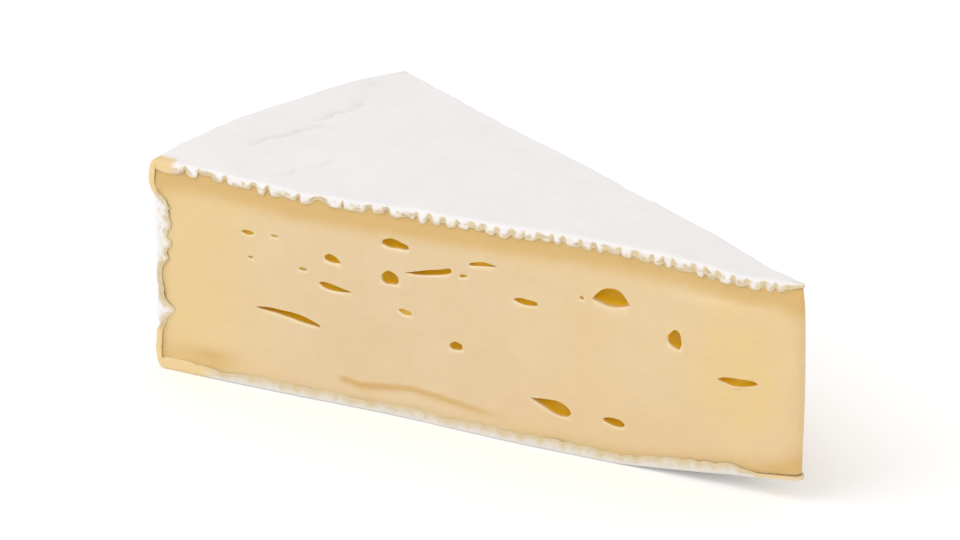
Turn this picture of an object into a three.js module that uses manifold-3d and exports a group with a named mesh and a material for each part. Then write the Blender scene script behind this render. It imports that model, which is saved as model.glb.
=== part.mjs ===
// A wedge cut from a wheel of soft, white-rinded cheese.
// It is made here as the real one is: a low round wheel is moulded, its skin of
// white rind encloses the paste, and a knife cuts two upright faces to the centre.
//
// Millimetres, +Z up. +X points from the heel (the old wall of the wheel) to the
// tip (its centre), and the two cut faces look towards -Y and +Y. The origin is
// the middle of the box that holds the wedge, at the level it stands on.

import * as THREE from 'three';
import { mergeVertices } from 'three/addons/utils/BufferGeometryUtils.js';
import Module from 'manifold-3d';

// Driving dimensions
const wheelRadius = 126.3;
const wheelHeight = 39.5;
const wedgeAngle = THREE.MathUtils.degToRad(29);
const tipRadius = 0.8;

// Gas holes are placed towards the tip from a line this far from the wheel's centre
const holeLine = 125;

// Rind: its thickness on the top, base and wall, and the gap kept to the paste
const rindTop = 1.8;
const rindBase = 1.3;
const rindHeel = 2.2;
const rindGap = 0.3;

// Wall of the wheel: its rounded edges, the hollow and the crease that it sinks in at,
// and the folds where the rind is thicker. Each has a height, a reach up and down, and a depth.
const shoulderRadius = 3;
const footRadius = 3;
const wallCreases = [
  { height: 21, reach: 12, depth: 1.1 },
  { height: 7.4, reach: 1.5, depth: 0.5 },
];
const rindFolds = [
  { height: 26.5, reach: 6, depth: 1.6 },
  { height: 9.7, reach: 2.4, depth: 1.8 },
];

// Base: a shallow dish around the wheel's centre, which lifts the tip
const baseDishHeight = 3.4;
const baseDishRadius = 28;
const baseDishCurve = 1.15;

// Top: a sag along the near cut, the rise that follows it towards the tip, and a
// crease that runs beside the heel. Distances are from the tip.
const sagDepth = 0.8;
const sagDistance = 91;
const riseHeight = 0.9;
const riseDistance = 37;
const sagReach = 16;
const sagWidth = 14;
const creaseDepth = 0.5;
const creaseDistance = 107.5;
const creaseReach = 5;

// Cut faces: swelling at mid height, spreading at the foot, wandering of the knife,
// the line where the paste sinks back under the rind, and lumps where they meet
const faceBulge = 0.5;
const footFlare = 0.9;
const footFlareHeight = 3;
const knifeWander = 0.22;
const lipRecess = 0.5;
const lipRecessHeight = 1.7;
const rippleHeight = 0.35;

// Fineness of the facets
const outerTurns = 120;
const innerTurns = 72;
const outerRingPitch = 11;
const innerRingPitch = 2.8;
const faceStepLength = 10;
const faceStepsUp = 11;

const halfAngle = wedgeAngle / 2;
const tipX = wheelRadius / 2;

// Numbers evenly spaced from one value to another, both included
function spread(from, to, count) {
  return Array.from({ length: count + 1 }, (_, i) => from + ((to - from) * i) / count);
}

// A smooth hump of height 1 at the middle that fades out over the width
function hump(value, middle, width) {
  return Math.exp(-(((value - middle) / width) ** 2));
}

// manifold-3d joins and cuts closed meshes
const wasm = await Module();
wasm.setup();

function solidOf(geometry) {
  const bare = geometry.clone();
  bare.deleteAttribute('normal');
  bare.deleteAttribute('uv');
  const merged = mergeVertices(bare, 1e-4);
  const mesh = new wasm.Mesh({
    numProp: 3,
    vertProperties: Float32Array.from(merged.attributes.position.array),
    triVerts: Uint32Array.from(merged.index.array),
  });
  return new wasm.Manifold(mesh);
}

function geometryOf(solid) {
  const { vertProperties, triVerts } = solid.getMesh();
  const geometry = new THREE.BufferGeometry();
  geometry.setAttribute('position', new THREE.BufferAttribute(vertProperties, 3));
  geometry.setIndex(new THREE.BufferAttribute(triVerts, 1));
  geometry.computeVertexNormals();
  return geometry;
}

// Moves every corner of a geometry by a function that changes the point in place
function reshape(geometry, move) {
  const position = geometry.attributes.position;
  const point = new THREE.Vector3();
  for (let i = 0; i < position.count; i += 1) {
    point.fromBufferAttribute(position, i);
    move(point);
    position.setXYZ(i, point.x, point.y, point.z);
  }
  return geometry;
}

// Sum of the depths that a list of creases or folds has at a height
function depthAt(features, height) {
  return features.reduce((sum, { height: middle, reach, depth }) => {
    return sum + depth * hump(height, middle, reach);
  }, 0);
}

// The underside stands flat, apart from a shallow dish at the middle of the wheel
function baseLevel(radius) {
  const inward = Math.max(0, 1 - radius / baseDishRadius);
  return baseDishHeight * inward ** baseDishCurve;
}

// Half of the wheel's section, from the axis along the base, up the wall and back
// along the top. It is moved inwards by the thickness of rind that lies outside it.
function wheelProfile({ top, base, heel, ringPitch }) {
  const flatRadius = wheelRadius - shoulderRadius - rindHeel;
  const rings = spread(0, flatRadius, Math.round(flatRadius / ringPitch));
  const points = rings.map((radius) => new THREE.Vector2(radius, baseLevel(radius) + base));

  const wall = [];
  for (const turn of spread(-Math.PI / 2, 0, 3).slice(1)) {
    wall.push([footRadius * (Math.cos(turn) - 1), footRadius * (1 + Math.sin(turn))]);
  }
  for (const height of spread(footRadius, wheelHeight - shoulderRadius, 11).slice(1)) {
    wall.push([0, height]);
  }
  for (const turn of spread(0, Math.PI / 2, 4).slice(1, -1)) {
    const height = wheelHeight - shoulderRadius * (1 - Math.sin(turn));
    wall.push([shoulderRadius * (Math.cos(turn) - 1), height]);
  }
  const squeeze = (wheelHeight - top - base) / wheelHeight;
  for (const [inset, height] of wall) {
    const rind = heel * (rindHeel + depthAt(rindFolds, height));
    const radius = wheelRadius + inset - depthAt(wallCreases, height) - rind;
    points.push(new THREE.Vector2(radius, base + height * squeeze));
  }

  for (const radius of rings.reverse()) {
    points.push(new THREE.Vector2(radius, wheelHeight - top));
  }
  return points;
}

// The top has settled along the near cut, and a crease runs beside the heel
function settleTop(point) {
  if (point.z < wheelHeight / 2) return;
  const fromTip = Math.hypot(point.x - tipX, point.y);
  const nearCutY = -Math.tan(halfAngle) * (tipX - point.x);
  const sag = sagDepth * hump(fromTip, sagDistance, sagReach);
  const rise = riseHeight * hump(fromTip, riseDistance, sagReach);
  const crease = creaseDepth * hump(fromTip, creaseDistance, creaseReach);
  point.z -= (sag - rise) * hump(point.y, nearCutY, sagWidth) + crease * hump(point.y, 0, sagWidth);
}

// Under the rind the paste meets it in small uneven lumps
function ripple(point) {
  const fromTip = Math.hypot(point.x - tipX, point.y);
  const side = point.z > wheelHeight / 2 ? 1 : -1;
  const wave = Math.sin(1.21 * fromTip + 0.09 * point.y) * Math.cos(0.37 * fromTip - 0.3 * point.y);
  const inside = hump(fromTip, 0.48 * wheelRadius, 0.45 * wheelRadius);
  point.z += side * rippleHeight * wave * inside;
}

// A wheel turned about the upright axis that the wedge's tip lies on
function wheel({ top, base, heel, turns, ringPitch, rippled }) {
  const profile = wheelProfile({ top, base, heel, ringPitch });
  const geometry = new THREE.LatheGeometry(profile, turns);
  geometry.rotateX(Math.PI / 2);
  geometry.translate(tipX, 0, 0);
  if (rippled) reshape(geometry, ripple);
  reshape(geometry, settleTop);
  return solidOf(geometry);
}

// Outline of the knife's cut seen from above: two straight faces and a small
// round tip, which touches the wheel's axis. It runs on past the heel.
function cutOutline() {
  const centre = tipX - tipRadius;
  const reach = wheelRadius + 15;
  const shape = new THREE.Shape();
  const start = Math.PI / 2 - halfAngle;
  const edge = new THREE.Vector2(
    centre + tipRadius * Math.cos(start),
    tipRadius * Math.sin(start),
  );
  const far = new THREE.Vector2(
    edge.x - reach * Math.cos(halfAngle),
    edge.y + reach * Math.sin(halfAngle),
  );
  const steps = Math.round(reach / faceStepLength);
  const lerp = (t, side) => [edge.x + (far.x - edge.x) * t, side * (edge.y + (far.y - edge.y) * t)];
  shape.moveTo(...lerp(1, -1));
  for (const t of spread(1, 0, steps).slice(1)) shape.lineTo(...lerp(t, -1));
  shape.absarc(centre, 0, tipRadius, -start, start, false);
  for (const t of spread(0, 1, steps).slice(1)) shape.lineTo(...lerp(t, 1));
  return shape;
}

// The slice that the knife takes. Its faces bulge a little, spread at the foot and
// wander slightly. The paste also sinks back in a line just under the rind.
function slice(recess) {
  const depth = wheelHeight + 4;
  const geometry = new THREE.ExtrudeGeometry(cutOutline(), {
    depth,
    steps: faceStepsUp,
    curveSegments: 5,
    bevelEnabled: false,
  });
  geometry.translate(0, 0, -2);
  const spineEnd = tipX - 4;
  const underRind = wheelHeight - rindTop - 0.6 * lipRecessHeight;
  reshape(geometry, (point) => {
    const level = THREE.MathUtils.clamp(point.z, 0, wheelHeight);
    const outward = new THREE.Vector2(point.x - Math.min(point.x, spineEnd), point.y).normalize();
    const wander = knifeWander * Math.sin(0.11 * point.x + Math.sign(point.y) + 0.05 * level);
    const swell = faceBulge * Math.sin((Math.PI * level) / wheelHeight);
    const flare = footFlare * Math.exp(-level / footFlareHeight);
    const dip = recess * hump(level, underRind, lipRecessHeight);
    const push = swell + flare + wander - dip;
    point.x += outward.x * push;
    point.y += outward.y * push;
  });
  return solidOf(geometry);
}

// Places a shape on a cut face: along it from the hole line, up from the base, turned
// in the face. The side is -1 on the face towards -Y and 1 on the face towards +Y.
function onFace(geometry, side, along, up, turn) {
  const left = holeLine - along;
  const place = new THREE.Matrix4().makeTranslation(
    tipX - left * Math.cos(halfAngle),
    side * (left * Math.sin(halfAngle) + tipRadius),
    up,
  );
  const face = new THREE.Matrix4().makeRotationZ(-side * halfAngle);
  const tilt = new THREE.Matrix4().makeRotationY(THREE.MathUtils.degToRad(turn));
  return geometry.applyMatrix4(place.multiply(face).multiply(tilt));
}

// A gas hole opened by the knife: a flattened bubble, narrower towards one end
function gasHole(side, [along, up, length, height, turn, depth, pinch]) {
  const geometry = new THREE.SphereGeometry(1, 8, 5);
  reshape(geometry, (point) => {
    point.z *= 1 + pinch * point.x;
    point.set((point.x * length) / 2, point.y * depth, (point.z * height) / 2);
  });
  return solidOf(onFace(geometry, side, along, up, turn));
}

// Gas holes: along from the heel, up from the base, length, height, turn in degrees,
// depth, and how much taller the end towards the tip is than the other end
const nearHoles = [
  [18.7, 29.2, 2.4, 0.9, 0, 1.0, 0],
  [30.0, 24.4, 1.4, 0.7, 0, 0.8, 0],
  [35.8, 27.2, 3.2, 1.5, 6, 1.8, -0.2],
  [36.4, 22.1, 6.0, 1.3, 6, 2.0, -0.2],
  [27.0, 14.9, 12.6, 1.9, 5, 3.2, 0.3],
  [48.1, 32.2, 5.4, 1.7, 2, 2.6, -0.3],
  [47.3, 26.0, 3.4, 2.9, 0, 3.4, 0],
  [53.0, 28.4, 9.0, 1.3, -15, 2.4, -0.2],
  [58.6, 30.1, 3.6, 2.0, -12, 2.2, 0],
  [65.2, 31.5, 5.4, 1.0, -10, 1.6, -0.2],
  [50.2, 20.2, 2.6, 1.2, 8, 1.0, 0],
  [60.0, 15.7, 2.5, 1.7, -6, 1.8, 0],
  [73.4, 26.6, 4.4, 1.4, 2, 1.8, 0.2],
  [89.4, 30.0, 6.7, 3.6, 0, 3.6, 0.1],
  [101.3, 25.0, 2.9, 3.4, -10, 3.0, 0.3],
  [113.4, 19.7, 7.2, 1.5, -5, 2.0, 0],
  [78.3, 8.1, 7.6, 2.6, 10, 3.4, 0.5],
  [90.3, 7.5, 4.0, 1.7, 4, 2.4, 0.2],
  [41.0, 4.6, 11.0, 0.9, 3, 0.8, 0],
  [56.5, 5.2, 13.0, 0.9, 6, 0.8, 0],
];
const farHoles = [
  [14.5, 21.0, 4.2, 1.6, -8, 2.2, 0.2],
  [24.0, 29.5, 3.0, 1.4, 4, 1.8, 0],
  [31.0, 12.5, 9.0, 1.7, -5, 2.8, -0.3],
  [38.5, 24.0, 5.4, 3.0, 8, 3.4, 0.4],
  [47.0, 17.0, 2.4, 1.7, 0, 1.8, 0],
  [54.5, 28.0, 10.5, 1.5, 6, 2.6, 0.2],
  [61.0, 9.0, 4.6, 2.2, -10, 2.8, -0.4],
  [69.0, 22.5, 3.2, 2.6, 12, 2.8, 0],
  [77.5, 30.0, 4.8, 1.4, -4, 2.0, -0.2],
  [83.0, 14.0, 7.6, 1.6, 7, 2.4, 0.3],
  [95.0, 25.5, 5.6, 2.8, -6, 3.0, -0.3],
  [103.5, 10.5, 3.0, 1.5, 0, 1.8, 0],
  [110.0, 20.0, 5.2, 1.3, -5, 1.8, 0.2],
];

function cutHoles(paste) {
  let result = paste;
  for (const hole of nearHoles) result = result.subtract(gasHole(-1, hole));
  for (const hole of farHoles) result = result.subtract(gasHole(1, hole));
  return result;
}

function makePaste() {
  const core = wheel({
    top: rindTop,
    base: rindBase,
    heel: 1,
    turns: innerTurns,
    ringPitch: innerRingPitch,
    rippled: true,
  });
  return cutHoles(core.intersect(slice(lipRecess)));
}

function makeRind() {
  const whole = wheel({
    top: 0,
    base: 0,
    heel: 0,
    turns: outerTurns,
    ringPitch: outerRingPitch,
    rippled: false,
  });
  const hollow = wheel({
    top: rindTop - rindGap,
    base: rindBase - rindGap,
    heel: 1 - rindGap / rindHeel,
    turns: innerTurns,
    ringPitch: innerRingPitch,
    rippled: true,
  });
  return whole.subtract(hollow).intersect(slice(0));
}

function makePiece(name, solid, look) {
  const piece = new THREE.Mesh(geometryOf(solid), new THREE.MeshStandardMaterial(look));
  piece.name = name;
  return piece;
}

const wedge = new THREE.Group();
wedge.name = 'cheese_wedge';
wedge.add(makePiece('paste', makePaste(), { color: 0xe7cca1, roughness: 0.45, metalness: 0 }));
wedge.add(makePiece('rind', makeRind(), { color: 0xf2eeec, roughness: 0.9, metalness: 0 }));

// The origin goes to the middle of the base
const box = new THREE.Box3().setFromObject(wedge);
const middle = box.getCenter(new THREE.Vector3());
wedge.position.set(-middle.x, -middle.y, -box.min.z);
wedge.updateMatrixWorld(true);

export default wedge;
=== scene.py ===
# A wedge of soft, white-rinded cheese, standing on a pale studio floor.
#
# The frame is in metres. Shapes are worked out here in millimetres and turned into
# metres when a mesh is made. +X points from the heel, the old wall of the wheel, to
# the tip, and the two cut faces look towards -Y, the near side, and +Y, the far side.
import math

import bmesh
import bpy
import numpy as np
from mathutils import Matrix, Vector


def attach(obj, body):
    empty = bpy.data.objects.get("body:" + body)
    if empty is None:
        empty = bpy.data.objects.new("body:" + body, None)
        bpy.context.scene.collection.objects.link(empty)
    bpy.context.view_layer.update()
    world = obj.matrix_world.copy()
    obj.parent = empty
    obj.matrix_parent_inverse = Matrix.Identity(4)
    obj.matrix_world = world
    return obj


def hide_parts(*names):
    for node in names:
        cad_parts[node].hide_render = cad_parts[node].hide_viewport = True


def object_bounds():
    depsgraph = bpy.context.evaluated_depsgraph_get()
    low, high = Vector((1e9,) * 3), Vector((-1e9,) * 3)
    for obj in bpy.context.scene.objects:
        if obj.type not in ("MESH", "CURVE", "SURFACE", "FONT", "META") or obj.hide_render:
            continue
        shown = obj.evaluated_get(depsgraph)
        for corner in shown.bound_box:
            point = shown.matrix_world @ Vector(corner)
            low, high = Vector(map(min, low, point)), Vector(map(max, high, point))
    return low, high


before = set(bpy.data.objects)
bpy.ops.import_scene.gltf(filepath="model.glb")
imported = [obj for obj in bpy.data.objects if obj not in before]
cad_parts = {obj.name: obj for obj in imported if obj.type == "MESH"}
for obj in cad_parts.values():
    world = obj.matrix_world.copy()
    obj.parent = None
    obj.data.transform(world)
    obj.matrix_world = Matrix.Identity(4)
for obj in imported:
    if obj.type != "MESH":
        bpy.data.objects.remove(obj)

cad_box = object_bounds()

MM = 0.001
NEAR, FAR = -1, 1

# The wedge's own measures in millimetres. The tip stands just inside the CAD box, and
# distances marked u are from the tip along a cut face.
RADIUS = 126.3
HALF_ANGLE = math.radians(14.5)
TIP_RADIUS = 0.8
HEIGHT = 39.42
TIP_X = cad_box[1][0] / MM - 0.7
TIP_CENTRE = TIP_X - TIP_RADIUS
TIP_ARC = TIP_RADIUS * (math.pi / 2 - HALF_ANGLE)

# The shoulder of the top is tighter beside the near cut than beside the far one, and
# both cuts meet the heel's wall at HEEL_EDGE from the middle
SHOULDER_NEAR, SHOULDER_FAR = 1.7, 4.2
FOOT_RADIUS = 3.0
HEEL_EDGE = 31
DISH_HEIGHT, DISH_RADIUS, DISH_CURVE = 4.0, 34.0, 1.2

# How deep the rind reaches before the paste begins, where it is hidden
RIND_TOP, RIND_WALL, RIND_BASE = 0.65, 1.0, 0.7
BOND_GAP = 0.05

# The reach from the tip over which straight rows across turn into the wheel's curve
BOW_START, BOW_END = 14, 60


# ---------------------------------------------------------------- shape helpers


def hump(value, middle, reach):
    """A smooth bump of height one: e to the minus square of the distance over the reach."""
    return np.exp(-(((value - middle) / reach) ** 2))


def ramp(value, start, end):
    """Rises smoothly from 0 at start to 1 at end, by 3 t squared minus 2 t cubed."""
    t = np.clip((value - start) / (end - start), 0, 1)
    return t * t * (3 - 2 * t)


def waves(seed, size, *coordinates):
    """Smooth noise of about unit height: sixteen plane waves in seeded directions and
    phases, their lengths spread around the size, added up and divided by the square
    root of eight."""
    random = np.random.default_rng(seed)
    total = 0.0
    for _ in range(16):
        direction = random.normal(size=len(coordinates))
        direction /= np.linalg.norm(direction)
        length = size * random.uniform(0.7, 1.5)
        along = sum(d * c for d, c in zip(direction, coordinates))
        total = total + np.sin(2 * math.pi * along / length + random.uniform(0, 2 * math.pi))
    return total / math.sqrt(8)


def outline(u):
    """The wedge seen from above, at a distance u from the tip: an arc of TIP_RADIUS,
    then a straight line at HALF_ANGLE. Gives x, y, and the outward normal's x and y,
    for the far side; the near side has y turned round."""
    turn = np.minimum(u / TIP_RADIUS, math.pi / 2 - HALF_ANGLE)
    straight = np.maximum(u - TIP_ARC, 0)
    normal_x, normal_y = np.cos(turn), np.sin(turn)
    x = TIP_CENTRE + TIP_RADIUS * normal_x - straight * math.cos(HALF_ANGLE)
    y = TIP_RADIUS * normal_y + straight * math.sin(HALF_ANGLE)
    return x, y, normal_x, normal_y


def swelling(side, u, z):
    """How far a cut face stands out from its plane: half a sine wave over the height,
    an exponential spread at the foot, and the slow wandering of the knife."""
    level = np.clip(z, 0, HEIGHT)
    swell = 0.5 * np.sin(math.pi * level / HEIGHT)
    flare = 0.8 * np.exp(-level / 3)
    seed = 11 if side == NEAR else 12
    wander = 0.13 * waves(seed, 46, u, 1.4 * z) * ramp(u, 0, 12)
    return swell + flare + wander - 0.12


def on_cut(side, u, z, out):
    """The point of a cut face at distance u from the tip and height z, moved out of it."""
    x, y, normal_x, normal_y = outline(u)
    push = swelling(side, u, z) + out
    return x + normal_x * push, side * (y + normal_y * push), z + 0 * x


def stroke(y, start, end):
    """1 between start and end, fading to 0 over 2 mm beyond each."""
    return ramp(y, start - 2, start + 1) * (1 - ramp(y, end - 1, end + 2))


def top_creases(x, y):
    """Creases in the top that run beside the heel: each is a bump across the distance
    from the tip, which changes evenly with y, and a stroke along y."""
    distance = np.hypot(x - TIP_X, y) + 0.3 * waves(21, 7, y) + 0.12 * waves(25, 2.5, y)
    folds = hump(distance, 113.9 - 0.27 * (y + 12), 0.75) * stroke(y, -14, 0)
    folds = folds + 1.1 * hump(distance, 112.9, 0.9) * stroke(y, 2, 13)
    folds = folds + 0.4 * hump(distance, 113.2 + 0.75 * (y - 12), 1.2) * stroke(y, 14, 24)
    folds = folds + 0.8 * hump(distance, 102.7 - 0.46 * (y + 22), 0.8) * stroke(y, -22, -10)
    return np.clip(folds * (0.85 + 0.25 * waves(26, 4, y)), 0, 1.3)


def top_relief(x, y):
    """How far the top stands above HEIGHT: a sag and a rise along the near cut, the
    creases with a bank beside the first, and slow and quick noise."""
    distance = np.hypot(x - TIP_X, y)
    near_cut = -math.tan(HALF_ANGLE) * (TIP_X - x)
    settled = 0.9 * hump(distance, 37, 16) - 0.8 * hump(distance, 91, 15)
    settled = settled - 0.55 * hump(distance, 11, 5)
    relief = settled * hump(y, near_cut, 13)
    bank = hump(distance, 110.8, 1.6) * stroke(y, 2, 15)
    relief = relief - 0.38 * top_creases(x, y) + 0.15 * bank
    slow = 0.1 * waves(22, 26, x, y) + 0.05 * waves(23, 8, x, y)
    quick = 0.02 * waves(24, 2.6, x, y)
    return relief + slow + quick


def dish(distance):
    """How far the base is lifted: a power of the distance inside the dish's radius."""
    return DISH_HEIGHT * np.maximum(0, 1 - distance / DISH_RADIUS) ** DISH_CURVE


def wall_hollow(z):
    """The broad hollow of the heel's wall under the standing edge of the top: a ramp
    down from 1 mm, less a bump over the foot."""
    return 1 - ramp(z, 30, 36) - 0.35 * hump(z, 4.5, 2.6)


def wall_inset(z, y):
    """How far the heel's wall sinks in: its hollow, and two creases, which are bumps
    across lines that wander up and down, with noise."""
    folds = 0.5 * hump(z, 8.2 + 0.6 * waves(33, 14, y), 0.8)
    folds = folds + 0.25 * hump(z, 16.8 + 0.7 * waves(36, 14, y), 2.0)
    noise = 0.09 * waves(34, 9, y, 1.6 * z) + 0.04 * waves(35, 3.2, y, 1.6 * z)
    return wall_hollow(z) + folds + noise + 0.12


# ------------------------------------------------------------------ mesh making


def grid_faces(index):
    """Four-cornered faces between neighbouring rows and columns of an index grid."""
    return np.stack(
        [index[:-1, :-1], index[:-1, 1:], index[1:, 1:], index[1:, :-1]], axis=-1
    ).reshape(-1, 4)


def make_piece(name, points, faces, attributes):
    """A closed mesh from points in millimetres: equal points are merged, which closes
    the seams and the ends, and every face is turned outwards."""
    mesh = bpy.data.meshes.new(name)
    mesh.vertices.add(len(points))
    mesh.vertices.foreach_set("co", (points * MM).astype(np.float32).ravel())
    mesh.loops.add(faces.size)
    mesh.loops.foreach_set("vertex_index", faces.astype(np.int32).ravel())
    mesh.polygons.add(len(faces))
    mesh.polygons.foreach_set("loop_start", np.arange(0, faces.size, 4, dtype=np.int32))
    mesh.update(calc_edges=True)
    for key, values in attributes.items():
        layer = mesh.attributes.new(key, "FLOAT", "POINT")
        layer.data.foreach_set("value", values.astype(np.float32))
    whole = bmesh.new()
    whole.from_mesh(mesh)
    bmesh.ops.remove_doubles(whole, verts=whole.verts, dist=3e-7)
    bmesh.ops.recalc_face_normals(whole, faces=whole.faces)
    for face in whole.faces:
        face.smooth = True
    whole.to_mesh(mesh)
    whole.free()
    piece = bpy.data.objects.new(name, mesh)
    bpy.context.scene.collection.objects.link(piece)
    return piece


# ------------------------------------------------------------------------- rind


# Rows of the rind over the top, round a whole shoulder, down the wall and under the
# base, and its columns across the outside and the inside
TOP_ROWS, SHOULDER_ROWS, WALL_ROWS, BASE_ROWS = 541, 13, 86, 271
OUTSIDE_COLUMNS, INSIDE_COLUMNS = 44, 8


def rind_rows():
    """The rows of the rind, from the tip over the top, down the wall and back under
    the base. Each has a share of the flat part's length, the outward normal of the
    wheel's section as its sine and cosine, and a share of the wall's height."""
    turn = np.linspace(0, math.pi / 2, SHOULDER_ROWS)[1:-1]
    parts = [
        (np.linspace(0, 1, TOP_ROWS), 0, 1, 1),
        (1, np.sin(turn), np.cos(turn), 1),
        (1, 1, 0, np.linspace(1, 0, WALL_ROWS)),
        (1, np.cos(turn[::2]), -np.sin(turn[::2]), 0),
        (np.linspace(1, 0, BASE_ROWS), 0, -1, 0),
    ]
    stacked = [np.stack(np.broadcast_arrays(*[np.atleast_1d(p) for p in part])) for part in parts]
    return np.concatenate(stacked, axis=1)[:, :, None]


def section_point(rows, shoulder, y):
    """Outer distance from the tip and height of each row, for a shoulder radius: flat
    top and base, quarter arcs and an upright wall, which sinks in by wall_inset."""
    share, sine, cosine, wall = rows
    upper = cosine > 1e-9
    lower = cosine < -1e-9
    arc = np.where(lower, FOOT_RADIUS, shoulder)
    distance = share * (RADIUS - arc) + arc * sine
    height = np.where(
        upper,
        HEIGHT - shoulder * (1 - cosine),
        np.where(
            lower,
            FOOT_RADIUS * (1 + cosine),
            FOOT_RADIUS + wall * (HEIGHT - shoulder - FOOT_RADIUS),
        ),
    )
    return distance - sine**2 * wall_inset(height, y), height


def teeth(seed, distance):
    """Lumps of the cut rind's edge, from 0 to 1.2: a lump's size times 1 less a notch,
    a steep-sided bump at every whole step of a phase. The steps are 2.6 mm long in the
    half beside the tip and 4.6 mm beside the heel. The notches' widths and the lumps'
    sizes wander, and a lump is biggest midway between its notches."""
    phase = np.interp(distance, (0, 72, 130), (0, 27.7, 40.3)) + 0.13 * waves(seed, 9, distance)
    step = 2.6 + 2.0 * ramp(distance, 66, 80)
    away = np.abs(phase - np.round(phase)) * step
    width = (0.45 + 0.25 * ramp(distance, 66, 80)) * (1 + 0.3 * waves(seed + 2, 7, distance))
    notch = np.exp(-((away / np.clip(width, 0.25, 1)) ** 3))
    lump = 0.88 - 0.12 * np.cos(2 * math.pi * phase) + 0.16 * waves(seed + 1, 5.5, distance)
    return np.clip(lump * (1 - notch), 0, 1.2)


def rind_edge(side, rows, distance, height):
    """Thickness of the cut rind, how far it stands proud, how notched it is, and how
    much paste is smeared over it, for each row on one side. Each is a share for the
    top, the wall and the base, weighted by the squares of the normal's cosine and sine.
    On the top and base the lumps follow teeth. On the wall there are a high lobe and a
    low one, with thin rind between. The corners and the tip's ends are smeared."""
    _, sine, cosine, _ = rows
    top = np.clip(cosine, 0, 1) ** 2
    base = np.clip(-cosine, 0, 1) ** 2
    wall = sine**2
    near_tip = 1 - ramp(distance, 0.5, 5.0)
    tooth = teeth(43 + 3 * side, distance) * (1 - near_tip) + 0.3 * near_tip
    base_tooth = teeth(62 + 3 * side, 0.7 * distance) * (1 - near_tip) + 0.5 * near_tip
    size = (0.6 + 0.5 * ramp(distance, 60, 85)) * (1 + 0.15 * waves(47 + side, 12, distance))
    plain = 0.2 + 0.6 * (1 - ramp(distance, 60, 85)) + 0.35 * hump(distance, 20, 9)
    top_thick = 0.75 + (plain + size * tooth) * (1 - near_tip)
    high = ramp(height, 19, 21.5) * (1 - ramp(height, 31.5, 34.3))
    low = hump(height, 11.2, 2.0)
    middle = ramp(height, 12.5, 14.5) * (1 - ramp(height, 19, 21))
    wall_noise = 0.22 * waves(48 + side, 3.4, height) + 0.1 * waves(49 + side, 1.3, height)
    wall_thick = 1.05 + 2.1 * high * (0.8 + 0.3 * hump(height, 28, 4)) + 2.9 * low + 0.4 * middle
    wall_thick = wall_thick + wall_noise * (high + low + 0.3)
    base_thick = 0.75 + ramp(distance, 6, 14) * (1.2 + 0.3 * base_tooth)
    base_thick = base_thick + 0.2 * ramp(distance, 6, 14) * waves(51 + side, 19, distance)
    thick = top * top_thick + wall * wall_thick + base * np.clip(base_thick, 0.72, 2.4)
    lobes = np.clip(high + low, 0, 1)
    proud = top * (0.02 + 0.15 * tooth) + wall * (0.02 + 0.16 * lobes) + base * 0.06
    notched = top * np.clip(1 - tooth, 0, 1) + wall * (1 - lobes) * 0.75
    notched = notched + base * (0.2 + 0.2 * np.clip(1 - base_tooth, 0, 1))
    corner = ramp(height, 32, 34.5) * ramp(distance, 119.5, 122.5)
    under = ramp(distance, 110, 118) * (1 - ramp(height, 7.0, 8.4))
    tip_ends = 0.6 * base * (1 - ramp(distance, 6, 13)) + 0.4 * top * (1 - ramp(distance, 1.5, 4))
    smear = np.clip((corner + under) * (1 if side == NEAR else 0.5) + tip_ends, 0, 1)
    return thick, proud * (1 - smear) + 0.12 * smear, notched, smear


# The cut rind's profile, from the outside, round the edge and down the section, then
# in behind it. Each step has a distance out of the face, a share of how proud the rind
# stands, a share of its thickness, and how tan it is. From step SETTLE_START on, the
# thickness goes over to that of the hidden rind.
EDGE_OUT = np.array([-1.1, -0.72, -0.4, -0.17, -0.03, 0, 0, 0, 0, 0, -0.04, -0.22, -0.5, -1.0])
EDGE_PROUD = np.array([0, 0, 0, 0.05, 0.3, 0.7, 1, 1.05, 0.95, 0.6, 0.1, 0, 0, 0])
EDGE_DOWN = np.array([0, 0, 0.02, 0.08, 0.2, 0.36, 0.52, 0.68, 0.83, 0.95, 1.0, 1.0, 1.0, 1.0])
EDGE_TAN = np.array([0, 0, 0, 0.05, 0.12, 0.2, 0.25, 0.35, 0.55, 0.85, 1, 1, 1, 1])
SETTLE_START, SETTLE_END = 10, 13


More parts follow.
